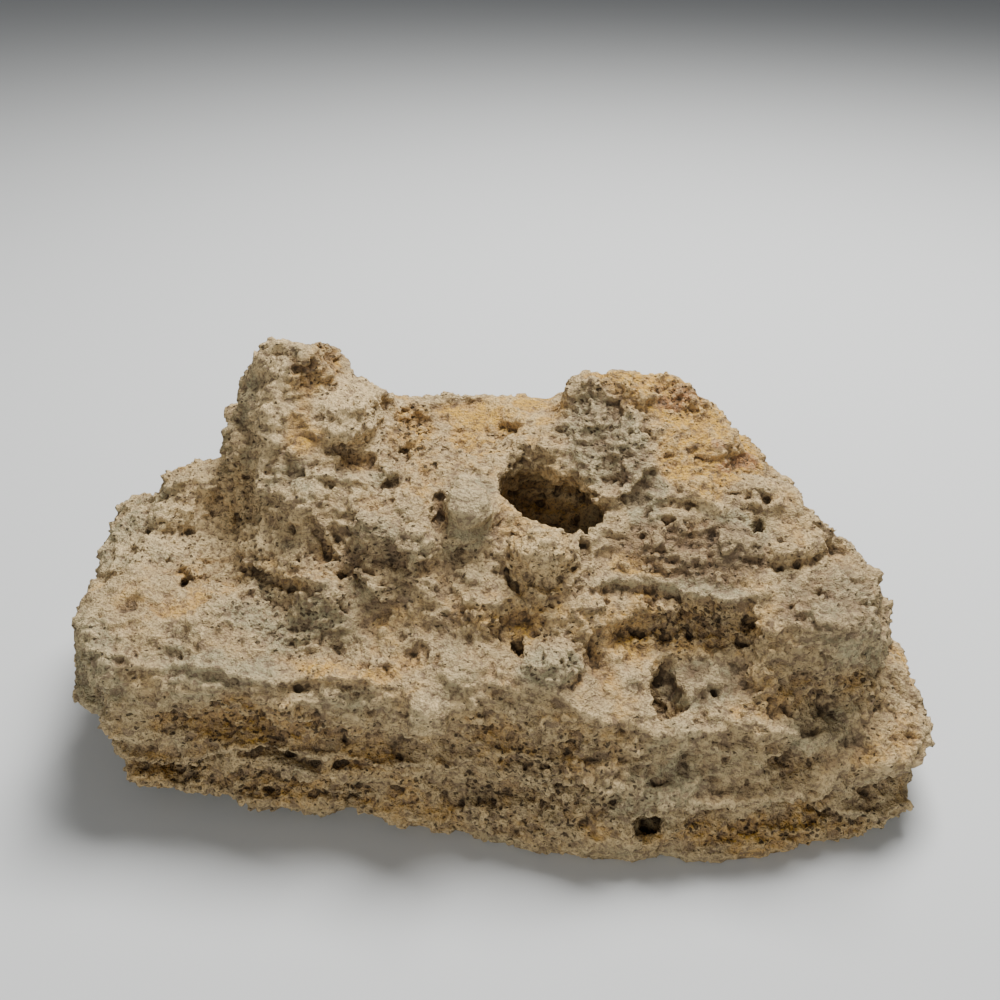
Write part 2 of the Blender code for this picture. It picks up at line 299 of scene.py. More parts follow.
# Raised (or sunk) rounded areas: view position, half width and height in pixels, rise in mm and turn in
# degrees.
SWELLS = {
    "knob": (277, 352, 26, 18, 1.5, 0),
    "knob_lip": (302, 355, 12, 8, 2.5, 20),
    "knob_notch": (299, 368, 9, 5, -3.0, 15),
    "block_gap": (303, 342, 3, 10, -2.5, -20),
    "spur_red_hollow": (315, 385, 18, 14, -2.5, 20),
    "spur_mass": (354, 402, 30, 22, 3.0, 0),
    "spur_mass_low": (345, 435, 26, 16, 2.0, 0),
    "spur_dish": (308, 425, 22, 28, -1.5, -15),
    "spur_front": (268, 440, 18, 40, 2.0, 5),
    "wall_bulge": (268, 500, 20, 26, 2.0, 0),
    "wall_bulge_low": (300, 515, 22, 22, 1.5, 0),
    "wall_recess": (322, 552, 22, 12, -2.0, 10),
    "wall_lump": (350, 520, 26, 20, 1.5, 0),
    "mid_lump": (412, 530, 24, 18, 2.0, 0),
    "mid_hollow": (395, 560, 22, 14, -1.5, 0),
    "egg": (468, 510, 26, 34, 5.5, 0),
    "egg_crevice": (439, 508, 9, 22, -6.0, 8),
    "egg_crevice_right": (500, 520, 5, 18, -1.5, 20),
    "boss": (543, 560, 34, 36, 3.0, 0),
    "boss_top_dent": (550, 527, 8, 5, -2.5, -10),
    "boss_right_gap": (586, 545, 7, 26, -3.0, 0),
    "boss_left_gap": (503, 545, 6, 26, -2.0, -15),
    "shell_hollow": (642, 492, 17, 30, -1.2, 15),
    "shoulder_lump": (690, 525, 26, 20, 2.0, 0),
    "white_nodule": (716, 507, 15, 9, 2.0, 0),
    "grey_lump": (738, 543, 24, 17, 2.5, 0),
    "lump_right": (790, 550, 26, 16, 2.0, 0),
    "nodule": (847, 532, 11, 13, 2.5, 0),
    "arch_field": (700, 570, 60, 24, 1.5, 0),
    "recess": (690, 622, 62, 24, 1.0, 0),
    "round_rim": (610, 597, 16, 13, 1.0, 0),
    "low_left_recess": (545, 622, 44, 18, -2.0, 0),
    "slope_lump": (553, 662, 34, 24, 3.5, 0),
    "groove_by_lump": (603, 665, 12, 36, -3.0, -40),
    "bowl": (685, 690, 52, 36, -1.5, 0),
    "drape": (605, 712, 52, 24, 1.5, 10),
    "band_recess": (240, 722, 84, 13, -3.0, 3),
    "band_recess_low": (225, 778, 90, 9, -2.5, 4),
    "front_recess": (515, 735, 50, 13, -2.0, 5),
    "front_bulge": (590, 778, 48, 14, 2.0, 20),
    "front_recess_low": (500, 795, 60, 12, -1.5, 8),
    "bench_edge_right": (720, 742, 70, 12, -1.5, 5),
    "wall_right": (730, 775, 70, 18, 2.5, 0),
    "u_hollow": (702, 718, 14, 20, -2.5, 25),
    "arch_hollow_a": (770, 712, 20, 13, -2.5, 0),
    "arch_hollow_b": (790, 762, 26, 11, -2.5, 0),
    "dark_dent": (812, 731, 11, 9, -3.0, 0),
    "boss_right": (838, 605, 55, 42, 2.5, 0),
    "boss_right_under": (835, 692, 55, 14, 1.5, 10),
    "lobe_right": (890, 740, 36, 40, 1.5, 0),
    "left_rim": (85, 600, 16, 70, 1.0, 0),
    "left_pale_lump": (150, 530, 50, 26, 2.0, -10),
    "left_pit_hollow": (196, 574, 20, 10, -2.0, 0),
    "left_sandy_dip": (205, 505, 34, 18, 1.0, -30),
    "flare_foot": (196, 490, 36, 14, 4.5, -18),
    "flare_slope": (188, 512, 46, 20, 4.0, -18),
    "left_low_dip": (165, 605, 50, 16, -1.0, 0),
    "corner_lump": (140, 715, 30, 34, 2.0, 0),
    "ring": (296, 714, 15, 13, 1.5, 0),
    "ring_middle": (296, 714, 6, 5, -1.5, 0),
    "pale_crumb": (426, 716, 26, 28, 2.5, 0),
    "low_shell": (507, 832, 16, 8, -2.5, 15),
    "saddle_groove": (500, 432, 50, 12, -1.5, 0),
    "saddle_pit_field": (415, 425, 22, 20, -2.0, 0),
    "dome_left_edge": (585, 420, 14, 40, 1.5, 20),
    "dome_cut": (608, 468, 18, 34, -2.0, -25),
    "dome_rib_a": (600, 395, 12, 20, 2.0, 15),
    "dome_rib_b": (632, 425, 14, 34, 2.5, -15),
    "dome_groove": (612, 415, 7, 30, -2.0, 10),
    "dome_lump": (680, 440, 24, 18, 2.0, 30),
    "dome_hollow": (684, 402, 24, 14, -2.5, 20),
    "dome_step": (720, 440, 26, 10, 2.0, 50),
}

# Forms at the edge of the view: centre and radii in mm, and rise in mm.
FORMS = {
    "spur_flank": ((-106, 6, 92), (16, 18, 20), 4.5),
}

# Holes with steep walls, by area: view position, half width and height in pixels, depth in mm.
HOLES = {
    "saddle_and_spur": [
        (405, 449, 7, 4, 3.5), (438, 448, 3, 3, 2), (320, 414, 6, 5, 2), (350, 410, 3, 3, 1.5),
    ],
    "spur_foot": [
        (240, 485, 4, 4, 2), (249, 493, 4, 4, 2), (292, 528, 4, 8, 3),
    ],
    "scooped_wall": [
        (341, 570, 5, 10, 4.5), (354, 571, 4, 6, 3), (378, 601, 6, 5, 4),
    ],
    "below_the_egg": [
        (443, 537, 5, 3, 2), (515, 614, 5, 4, 3), (521, 606, 4, 3, 2), (480, 590, 3, 5, 2),
        (458, 579, 4, 7, 2.5),
    ],
    "shoulder": [
        (645, 512, 4, 6, 3), (668, 520, 6, 5, 2.5), (692, 505, 5, 4, 2.5), (765, 498, 6, 7, 4),
        (758, 525, 5, 9, 4), (781, 538, 8, 5, 3), (778, 563, 9, 5, 3), (838, 530, 4, 12, 4),
    ],
    "arched_recess": [
        (610, 598, 9, 7, 4.5), (655, 602, 9, 6, 3), (638, 631, 11, 7, 3), (665, 635, 6, 8, 4.5),
        (672, 614, 4, 4, 2.5), (683, 612, 6, 9, 3.5), (690, 631, 7, 6, 3), (720, 622, 6, 8, 4),
        (745, 625, 11, 8, 5), (741, 644, 9, 7, 3.5), (712, 651, 4, 4, 2), (611, 620, 5, 4, 2),
    ],
    "bowl": [
        (718, 691, 6, 8, 3), (740, 705, 6, 4, 2),
    ],
    "right_end": [
        (793, 759, 8, 4, 2.5), (862, 703, 6, 7, 3.5), (812, 693, 4, 4, 2.5), (855, 666, 9, 4, 2),
        (812, 796, 8, 5, 3), (868, 794, 8, 7, 3), (833, 828, 9, 5, 3.5), (856, 823, 7, 4, 2.5),
    ],
    "front_pocket": [
        (651, 823, 10, 13, 5), (671, 834, 5, 6, 3), (658, 782, 6, 5, 2.5),
    ],
    "front_middle": [
        (416, 798, 5, 5, 3), (400, 756, 4, 4, 2), (460, 780, 5, 4, 2), (493, 803, 4, 6, 2.5),
        (535, 797, 5, 5, 3), (546, 787, 4, 6, 3), (558, 789, 6, 8, 4), (585, 793, 6, 5, 3),
        (533, 733, 4, 5, 2),
    ],
    "slope": [
        (517, 648, 9, 9, 4), (437, 655, 4, 9, 3), (420, 624, 4, 4, 2.5),
    ],
    "front_left": [
        (353, 699, 9, 4, 3), (303, 706, 9, 4, 2.5), (283, 711, 7, 5, 3), (217, 761, 7, 5, 3.5),
        (247, 770, 6, 5, 3), (283, 757, 6, 5, 3), (262, 757, 8, 5, 2), (267, 790, 8, 5, 3.5),
        (193, 797, 6, 3, 2), (345, 743, 5, 6, 2),
    ],
    "bench_and_corner": [
        (131, 549, 8, 3, 3), (184, 575, 7, 8, 3.5), (206, 575, 6, 8, 2.5), (147, 684, 8, 3, 2),
        (356, 640, 6, 8, 2.5), (300, 640, 5, 4, 1.5), (155, 745, 6, 5, 2), (135, 770, 6, 5, 2.5),
    ],
    "cavity_mouth": [
        (515, 495, 7, 6, 3), (543, 497, 4, 12, 3), (560, 492, 7, 8, 3), (577, 496, 7, 7, 3),
        (576, 517, 5, 6, 3),
    ],
    "dome": [
        (612, 383, 6, 4, 2), (647, 432, 4, 5, 2.5),
    ],
}

# Thin cuts and cracks: points in the view, width in pixels, depth in mm.
CUTS = {
    "slit_left": ([(238, 566), (250, 572), (260, 578)], 4, 3.0),
    "slit_middle": ([(264, 580), (280, 585), (297, 591)], 5, 5.0),
    "slit_right": ([(299, 592), (318, 598)], 4, 3.0),
    "flute_a": ([(222, 432), (224, 460), (218, 480)], 5, 2.0),
    "flute_b": ([(237, 415), (235, 450), (233, 490), (236, 525)], 5, 2.5),
    "flute_c": ([(248, 420), (246, 460), (247, 500), (244, 540)], 6, 3.0),
    "vein": ([(358, 508), (370, 524), (382, 533), (398, 541)], 3, 1.5),
    "wall_crack": ([(335, 540), (347, 560), (358, 582)], 4, 2.5),
    "pale_edge": ([(404, 692), (403, 707), (405, 722)], 4, 3.0),
    "brow_crack": ([(386, 687), (410, 688), (440, 686), (470, 691), (500, 699)], 3, 2.0),
    "pocket_crack": ([(676, 812), (671, 825), (669, 846)], 4, 3.0),
    "left_corner_crack": ([(118, 672), (116, 700), (121, 728)], 4, 2.0),
    "boss_whorl_a": ([(800, 640), (825, 655), (850, 668), (880, 664)], 3, 1.2),
    "boss_whorl_b": ([(835, 605), (855, 612), (872, 628), (874, 648)], 3, 1.5),
    "boss_whorl_c": ([(840, 640), (852, 632), (864, 640), (862, 652)], 3, 1.2),
    "right_band": ([(780, 604), (812, 606), (845, 604), (880, 612)], 4, 1.5),
    "lump_foot": ([(745, 560), (775, 566), (810, 562), (835, 550)], 6, 2.5),
    "dome_foot": ([(700, 485), (735, 492), (765, 495), (790, 500)], 6, 2.0),
    "slot": ([(665, 672), (667, 688), (666, 706)], 15, 8.0),
    "sill_crack": ([(512, 575), (522, 585), (528, 588)], 4, 2.0),
}

# Ledges that overhang: points in the view from left to right, reach above and below the line in pixels,
# then how far out the stone stands above the line and how far back it sits below it, in mm.
LEDGES = {
    "arch": (
        [(590, 590), (603, 582), (640, 580), (665, 585), (682, 596), (706, 603), (740, 603), (757, 597)],
        12, 18, 1.6, 1.4),
    "boss_foot": (
        [(506, 562), (514, 578), (528, 593), (546, 599), (572, 592), (583, 574)],
        10, 10, 2.0, 2.4),
    "mid_lip": ([(456, 600), (480, 607), (502, 602), (516, 593)], 9, 10, 1.6, 1.4),
    "shelf": ([(286, 447), (298, 468), (330, 480), (352, 485), (384, 480), (402, 470)], 8, 14, 1.2, 0.3),
    "dish_rim": ([(288, 452), (304, 463), (326, 460), (346, 465)], 6, 6, 1.2, 0.5),
    "brow": (
        [(110, 668), (150, 672), (185, 668), (215, 672), (250, 682), (275, 688), (297, 680), (345, 684),
         (400, 690)],
        12, 16, 1.4, 1.0),
    "brow_low": ([(196, 700), (228, 706), (262, 702), (305, 706)], 7, 9, 1.2, 1.6),
    "thin_ledge": (
        [(110, 756), (165, 762), (200, 758), (235, 750), (262, 744), (290, 750), (312, 759), (345, 758),
         (382, 766), (430, 768)],
        8, 14, 3.2, 4.0),
    "thin_ledge_mid": (
        [(430, 768), (470, 762), (515, 755), (545, 762), (580, 778), (620, 800)],
        6, 12, 1.8, 2.2),
    "low_ledge": ([(255, 784), (300, 790), (345, 789), (372, 798)], 4, 7, 1.8, 1.8),
    "base_plate": ([(150, 793), (180, 799), (215, 801), (252, 798), (290, 795)], 4, 4, -1.5, -2.4),
    "right_ledge": (
        [(676, 812), (720, 806), (768, 801), (800, 798), (842, 812), (884, 820), (912, 800)],
        9, 14, 2.2, 2.6),
    "boss_lip": ([(782, 648), (815, 648), (840, 662), (862, 672), (888, 664)], 8, 12, 1.6, 1.4),
    "arch_a": ([(748, 702), (765, 693), (785, 699), (797, 716)], 6, 10, 1.8, 1.6),
    "arch_b": ([(764, 754), (776, 743), (800, 751), (818, 762)], 6, 10, 1.8, 1.8),
    "arch_b_outer": ([(756, 742), (776, 733), (806, 740), (826, 750)], 4, 5, 1.0, 1.0),
    "u_rim": ([(690, 738), (704, 733), (716, 716), (722, 704)], 5, 5, 1.2, 0.8),
    "shell_rib": ([(596, 505), (614, 500), (630, 488), (643, 474), (656, 464)], 8, 7, 2.4, 1.0),
    "slab_edge": ([(512, 456), (535, 463), (560, 475), (582, 486), (605, 498)], 7, 5, 1.6, 2.2),
    "shell_lines": ([(600, 528), (625, 536), (655, 533)], 5, 5, 1.2, 1.0),
    "shard": ([(244, 562), (270, 570), (300, 582), (330, 590)], 8, 8, 2.4, 2.4),
    "flow_ridge": ([(306, 505), (322, 530), (338, 556), (362, 582), (392, 606)], 8, 8, 2.0, 0.8),
    "flow_ridge_right": ([(345, 500), (365, 520), (390, 540), (420, 556)], 7, 7, 1.6, 0.8),
    "bench_lip": ([(112, 508), (150, 500), (190, 486)], 8, 8, 1.2, 0.8),
    "left_low": ([(68, 640), (100, 655), (135, 662)], 8, 8, 1.6, 1.6),
    "drape_edge": ([(560, 700), (590, 722), (640, 735), (690, 740)], 8, 10, 1.2, 1.0),
    "bottom_wave": ([(480, 818), (505, 825), (530, 842)], 6, 6, 1.2, 1.4),
}

# Remeshing and the finer relief wear these forms down, so they are made larger by this much.
SWELL_SPREAD = 1.15
LEDGE_GAIN = 1.3
HOLE_GAIN = 1.3

# The share of a ledge's length over which it fades out at each end.
LEDGE_TAPER = 0.06


def along(uv, points):
    """Distance to a line of points and how far above it each place is, in pixels, and the share of the way
    along it."""
    best = np.full(len(uv), 1e9)
    above = np.zeros(len(uv))
    share = np.zeros(len(uv))
    for k, (a, b) in enumerate(zip(points[:-1], points[1:])):
        a, b = np.array(a, float), np.array(b, float)
        t = np.clip((uv - a) @ (b - a) / ((b - a) @ (b - a)), 0, 1)
        gap = uv - (a + t[:, None] * (b - a))
        distance = np.hypot(gap[:, 0], gap[:, 1])
        side = ((b - a)[0] * gap[:, 1] - (b - a)[1] * gap[:, 0]) / np.hypot(*(b - a))
        closer = distance < best
        best = np.where(closer, distance, best)
        above = np.where(closer, -side, above)
        share = np.where(closer, (k + t) / (len(points) - 1), share)
    return best, above, share


def oval(uv, u, v, half_u, half_v, turn):
    """Distance from an oval's middle, which is 1 at its edge."""
    angle = math.radians(turn)
    du, dv = uv[:, 0] - u, uv[:, 1] - v
    a = (du * math.cos(angle) + dv * math.sin(angle)) / half_u
    b = (dv * math.cos(angle) - du * math.sin(angle)) / half_v
    return np.sqrt(a * a + b * b)


def ledge(uv, points, up, down, out, back):
    distance, above, share = along(uv, points)
    ends = step_up(share, 0, LEDGE_TAPER) * (1 - step_up(share, 1 - LEDGE_TAPER, 1.0))
    stands_out = out * (1 - step_up(distance, up * 0.15, up))
    sits_back = -back * (1 - step_up(distance, down * 0.3, down))
    return LEDGE_GAIN * np.where(above >= 0, stands_out, sits_back) * ends


def forms_in_view(uv):
    """The rise of each form that is placed in the view, in mm."""
    for u, v, half_u, half_v, rise, turn in SWELLS.values():
        r = oval(uv, u, v, half_u * SWELL_SPREAD, half_v * SWELL_SPREAD, turn)
        yield rise * (1 - step_up(r, 0.25, 1.0))
    for points, *sizes in LEDGES.values():
        yield ledge(uv, points, *sizes)
    for points, width, depth in CUTS.values():
        yield -depth * (1 - step_up(along(uv, points)[0], width * 0.15, width * 0.75))
    for holes in HOLES.values():
        for u, v, half_u, half_v, depth in holes:
            yield -HOLE_GAIN * depth * (1 - step_up(oval(uv, u, v, half_u, half_v, 0), 0.5, 1.0))


def named_relief(p, n, pore):
    """The named forms, with outlines made uneven by noise."""
    uv, facing = as_seen(p, n)
    uv = shifted_in_view(uv, p, 9, 3, 70)
    uv = shifted_in_view(uv, p, 3, 2.5, 72)
    relief = sum(forms_in_view(uv)) * facing
    for centre, radii, rise in FORMS.values():
        r = np.linalg.norm((p - SHIFT - centre) / radii, axis=1)
        relief += rise * (1 - step_up(r, 0.2, 1.0))
    return relief


# Areas with their own look, a few of them with painted light or shade as noted: view position, half width
# and height in pixels, turn in degrees, then how much paler, warmer and more porous the stone is there.
PATCHES = {
    "block": (325, 354, 20, 18, 0, -1.4, 1.0, 0.5),
    "white_lip": (304, 353, 13, 9, 20, 1.0, -0.4, -0.5),
    "knob": (276, 345, 22, 14, 0, 0.5, -0.1, 0.2),
    "under_lip": (300, 366, 13, 8, 10, -1.0, 0.6, 0.3),
    "spur_ochre": (318, 384, 22, 14, 20, -0.5, 0.8, 0.5),
    "spur_ridge": (268, 415, 24, 74, 8, 1.2, -0.4, -0.2),
    "spur_red": (300, 425, 18, 30, -15, 0.0, 0.7, -0.4),
    "spur_pale": (352, 412, 42, 40, 0, 2.3, -0.2, 0.0),
    "spur_cap": (402, 408, 6, 6, 0, 1.6, -1.0, -0.6),
    "spur_right": (412, 428, 22, 26, 0, -0.5, 0.8, 0.9),
    "flutes": (236, 470, 20, 60, 5, -0.5, -0.1, 0.3),
    "flute_foot": (215, 500, 30, 34, -30, 0.1, 0.7, -0.2),
    "saddle": (500, 412, 74, 20, 0, 0.6, 1.1, -0.8),
    "saddle_front": (470, 440, 60, 18, 0, 0.1, 0.5, 0.3),
    "shelf_white": (340, 480, 48, 14, 8, 0.7, -0.5, -0.1),
    "shelf_shadow": (362, 464, 18, 8, 10, -0.8, 0.3, 0.4),
    "wall_left": (275, 490, 26, 40, 5, 0.0, -0.2, 0.1),
    "wall_brown": (330, 560, 38, 24, 10, -0.6, 0.2, 0.5),
    "grey_slope": (385, 560, 50, 50, 20, -0.7, -0.4, 0.3),
    "egg": (469, 512, 28, 34, 0, -0.5, -1.1, -0.9),
    "egg_cap": (470, 474, 14, 8, 0, 1.0, -0.3, -0.6),
    # Painted shade in the crevice at the left of the egg.
    "egg_crevice_shade": (441, 508, 7, 18, 0, -1.0, 0.2, 0.0),
    "collar": (500, 495, 10, 34, 0, 0.3, 0.2, -0.7),
    # Partly painted light: the orange is the stone's own, but the patch is made paler to brighten a slope
    # in shade.
    "bench_orange_painted_light": (218, 520, 56, 54, 30, 1.5, 0.1, 0.2),
    "bench_peach": (195, 508, 30, 24, -30, 0.6, 0.4, -0.3),
    "left_pale": (150, 535, 58, 34, -10, 0.8, -1.2, 0.2),
    "left_pits": (192, 574, 24, 14, 0, -0.7, 0.2, 0.7),
    "left_sand": (160, 602, 52, 20, 0, -0.3, 0.4, -0.4),
    "left_sand_low": (150, 625, 48, 12, 0, 0.5, 0.1, -0.3),
    "bench_mid": (275, 620, 64, 34, 0, 0.1, -0.8, 0.5),
    "bench_red": (350, 672, 50, 16, 0, 0.1, 0.6, -0.1),
    "brow": (215, 668, 78, 18, 5, 0.0, -1.0, -0.6),
    "corner": (92, 665, 26, 56, 0, 0.5, -1.4, 0.0),
    "corner_pale": (148, 700, 34, 22, 0, 0.5, -0.1, 0.0),
    "red_band": (255, 722, 100, 26, 3, -0.7, 1.0, 0.8),
    "under_ledge": (215, 780, 105, 22, 5, 0.3, 0.4, 0.8),
    "ledge": (250, 752, 130, 7, 2, 0.5, 0.3, -0.5),
    "bottom_plate": (235, 800, 100, 6, 2, 0.5, 0.4, -0.5),
    "front_left": (370, 780, 60, 36, 10, 0.0, 0.3, 0.5),
    "cream": (426, 716, 24, 28, 0, 0.7, -0.2, -0.2),
    "front_gold": (540, 745, 110, 36, 5, 0.1, 0.3, 0.5),
    "front_low": (540, 805, 90, 40, 5, 0.0, 0.1, 0.8),
    "front_grey": (650, 800, 60, 36, 0, -0.2, -0.4, 0.2),
    "boss": (543, 560, 38, 38, 0, 1.0, 0.6, 0.1),
    "low_left_recess": (490, 622, 50, 14, 5, -0.8, 0.6, 0.6),
    "slope_lump": (552, 664, 34, 24, 0, -0.3, -0.9, 0.4),
    "valley": (598, 668, 14, 36, -40, -0.6, 0.7, -0.3),
    "drape": (600, 706, 52, 18, 5, 0.1, 0.4, -0.8),
    "drape_spot": (592, 718, 8, 6, 0, 1.6, -0.6, -0.8),
    "grey_blue": (700, 685, 46, 24, 0, -1.0, -1.3, -0.4),
    "shell_grey": (642, 495, 20, 34, 10, -0.4, -1.2, -0.6),
    "shell": (690, 550, 84, 36, 8, -1.9, 0.0, 0.5),
    "recess": (690, 622, 66, 30, 0, -0.5, 0.4, 1.0),
    "arch": (680, 588, 90, 10, 5, 0.3, -1.0, -0.6),
    "dome_top": (650, 385, 66, 26, 0, -0.1, 1.2, 0.1),
    "dome_pits": (682, 400, 26, 20, 0, -0.3, 0.0, 0.7),
    "dome_pale": (650, 428, 20, 16, 0, 0.8, -0.3, 0.2),
    "dome_left": (610, 440, 42, 60, -25, -0.8, -0.9, 0.4),
    "slope_gold": (705, 440, 64, 60, 40, 0.1, 1.2, 0.0),
    "rust": (742, 463, 22, 8, 0, -0.4, 1.2, 0.2),
    "rust_small": (720, 447, 8, 6, 0, -0.3, 1.2, 0.0),
    "white_nodule": (716, 507, 14, 9, 0, 0.9, -0.5, -0.5),
    "grey_lump": (735, 535, 34, 26, 0, -0.3, -1.2, -0.2),
    "right_boss": (838, 605, 60, 42, 10, -0.9, -0.5, 0.1),
    "right_red": (835, 685, 64, 18, 5, -0.2, 0.4, 0.6),
    "right_pale": (812, 735, 34, 26, 0, 0.5, -0.6, -0.3),
    "right_beige": (700, 745, 60, 34, 0, 0.2, -0.2, -0.1),
    "right_end": (890, 740, 36, 50, 0, -0.1, 0.4, 0.3),
    "right_dark": (770, 832, 120, 17, -2, -0.5, 0.9, 0.9),
    "hole": (548, 495, 44, 28, 15, 0.5, 1.0, -0.2),
    "hole_ledge": (545, 496, 40, 6, 12, 0.8, 0.2, 0.0),
}

# A patch fades out at PATCH_SPREAD times its size, and its middle holds back PATCH_HOLD of the random look.
PATCH_SPREAD = 1.25
PATCH_HOLD = 0.6


def looks(p, n):
    """How pale, how warm and how porous the stone is at each point, mostly from -1 to 1, with painted light
    and shade in a few patches.
    """
    uv, facing = as_seen(p, n)
    uv = shifted_in_view(uv, p, 12, 9, 90)
    pale = 0.8 * fractal(p, 30, 3, 40)
    warm = 1.2 * fractal(p, 42, 3, 44) - 0.1 + 0.3 * n[:, 2]
    pore = 0.9 * fractal(p, 26, 3, 48) - 0.1 + 0.25 * np.clip(-n[:, 2], 0, 1)
    natural = np.stack([pale, warm, pore], 1)
    keep = np.ones(len(p))
    added = np.zeros_like(natural)
    for u, v, half_u, half_v, turn, *values in PATCHES.values():
        r = oval(uv, u, v, half_u * PATCH_SPREAD, half_v * PATCH_SPREAD, turn)
        weight = facing * (1 - step_up(r, 0.45, 1.0))
        keep *= 1 - PATCH_HOLD * weight
        added += weight[:, None] * np.array(values)
    return (natural * keep[:, None] + added).T


# ---------------------------------------------------------------- relief
# Noise is given its size in mm and ends with its seed. The factors before it are heights in mm.
def layer_height(p):
    """Height in the growth layers, which wander and dip towards the middle of the front."""
    dip = 10 * step_up(p[:, 0], -40, 40) * (1 - step_up(p[:, 0], 60, 130)) * step_up(-p[:, 1], 20, 80)
    return p[:, 2] + dip + 5 * perlin(p, 60, 7) + 1.5 * perlin(p, 16, 8)


def steepness(n):
    """0 on level stone, and 1 from a slope of about 50 degrees."""
    return np.clip(1.3 * np.sqrt(np.clip(1 - n[:, 2] ** 2, 0, 1)), 0, 1)


def beds(p, reach, thick, seed):
    """Uneven layers: noise drawn out along the growth layers."""
    drawn = np.stack([p[:, 0] / reach, p[:, 1] / reach, layer_height(p) / thick], 1)
    return perlin(drawn, 1, seed)


def pits(points, scale, share, depth, seed, low, high):
    """Steep-walled holes at a share of scattered centres, low to high cells in radius."""
    near, _, own = worley(points, scale, seed)
    radius = low + (high - low) * np.clip(own * 1.7 % 1, 0, 1)
    hole = 1 - step_up(near, radius * 0.55, radius)
    return -depth * (0.5 + 0.5 * own) * hole * (own > 1 - share)


def relief_medium(p, n, pore):
    """Lumps, cracks, beds and the widest pits, bolder on the sides away from the camera."""
    q = shifted(p, 24, 3, 50)
    _, facing = as_seen(p, n)
    hidden = 1 - facing
    r = (1.2 + 0.6 * hidden) * fractal(q, 22, 2, 1) + 1.3 * (billow(q, 12, 2) - 0.45)
    r += 1.2 * (billow(q, 6.5, 3) - 0.45)
    near, second, _ = worley(q * [1, 1, 1.3], 14, 4)
    r -= (0.5 + 0.4 * hidden) * (1 - step_up(second - near, 0, 0.14))
    r *= np.clip(0.9 + 0.5 * pore, 0.3, 1.2)
    r += steepness(n) * (1.1 * beds(q, 26, 5.5, 20) + 0.9 * beds(q, 15, 3.4, 21))
    r += pits(q, 14, 0.4, 3.4, 11, 0.12, 0.30) * hidden
    holes = pits(shifted(q, 3, 0.8, 56) * [1, 1, 1.5], 7, 0.4, 2.8, 12, 0.12, 0.28)
    r += holes * np.clip(0.3 + 0.8 * pore, 0, 1.2) * (0.4 + 0.6 * hidden)
    return r - 0.6


def relief_pits(p, n, pore):
    """Small pits, flattened along the layers, thin beds, and small lumps between the pits."""
    q = shifted(shifted(p, 5, 1.0, 60), 2.6, 0.7, 64) * [1, 1, 1.5]
    amount = np.clip(0.5 + 0.7 * pore, 0.05, 1.3)
    r = pits(q, 5.0, 0.5, 3.4, 13, 0.14, 0.34) * amount
    r += pits(q, 3.6, 0.55, 2.6, 14, 0.18, 0.42) * amount
    r += steepness(n) * 0.8 * beds(p, 9, 2.3, 22) * np.clip(1.1 - 0.4 * pore, 0.4, 1.3)
    return r + (0.8 + 0.5 * amount) * (billow(q, 4.2, 15) - 0.4)


def relief_fine(p, n, pore):
    """Grains of about 3 mm with gaps between them, and the thinnest beds."""
    near, second, _ = worley(shifted(p, 4, 0.6, 80), 2.8, 16)
    r = 1.5 * (0.5 - near) - 0.5 * (1 - step_up(second - near, 0, 0.2)) + 1.1 * fractal(p, 3.4, 2, 17)
    r += 0.6 * steepness(n) * beds(p, 6, 1.7, 23)
    return np.clip(0.85 + 0.5 * pore, 0.25, 1.3) * r


# The level patches that the block rests on lie below this height.
REST_HEIGHT = 4


def push(mesh, *reliefs):
    """Move the skin along its normals, but for the patches that the block rests on."""
    p, n = coordinates(mesh), normals(mesh)
    pore = looks(p, n)[2]
    resting = step_up(-n[:, 2], 0.6, 0.9) * (p[:, 2] < REST_HEIGHT)
    rise = (1 - resting) * sum(relief(p, n, pore) for relief in reliefs)
    place(mesh, p + n * rise[:, None])


# ---------------------------------------------------------------- the skin
# How often neighbours are averaged, to get the surface that a pit's depth is measured from.
PIT_ROUNDS = 14


def skin():
    """The solid's surface with all of the relief, thinned to the triangles that it may have."""
    mesh = remeshed(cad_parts["coral_head"].data.copy(), COARSE_VOXEL, FACET_SMOOTHING)
    push(mesh, relief_medium, named_relief)
    mesh = remeshed(mesh, FINE_VOXEL, 1)
    push(mesh, relief_pits)
    mesh = remeshed(mesh, FINE_VOXEL, 0)
    push(mesh, relief_fine)
    mesh = thinned(mesh, HIDDEN_TRIANGLES, ~seen(mesh))
    mesh = thinned(mesh, SEEN_TRIANGLES, seen(mesh))
    mesh = thinned(mesh, TRIANGLES, np.ones(len(mesh.vertices), bool))
    without_specks(mesh)
    low, high = (np.array(corner) / MM for corner in cad_box)
    place(mesh, np.clip(coordinates(mesh), low + BOX_MARGIN, high - BOX_MARGIN))
    return mesh


def write_looks(mesh):
    """Per-vertex values for the material, among them how deep each vertex lies in a pit, in mm, which sets
    the painted shade in pits.
    """
    p, n = coordinates(mesh), normals(mesh)
    pale, warm, pore = looks(p, n)
    pit = np.einsum("ij,ij->i", averaged(p, edge_ends(mesh), PIT_ROUNDS) - p, n)
    values = {"pale": pale, "warm": warm, "pore": pore, "pit": pit,
              "layer": layer_height(p), "steep": steepness(n)}
    for name, numbers in values.items():
        layer = mesh.attributes.new(name, "FLOAT", "POINT")
        layer.data.foreach_set("value", numbers.astype(np.float32))


mesh = skin()
head = bpy.data.objects.new("coral_head_skin", mesh)
bpy.context.scene.collection.objects.link(head)
mesh.shade_smooth()
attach(head, "root")
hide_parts("coral_head")
write_looks(mesh)


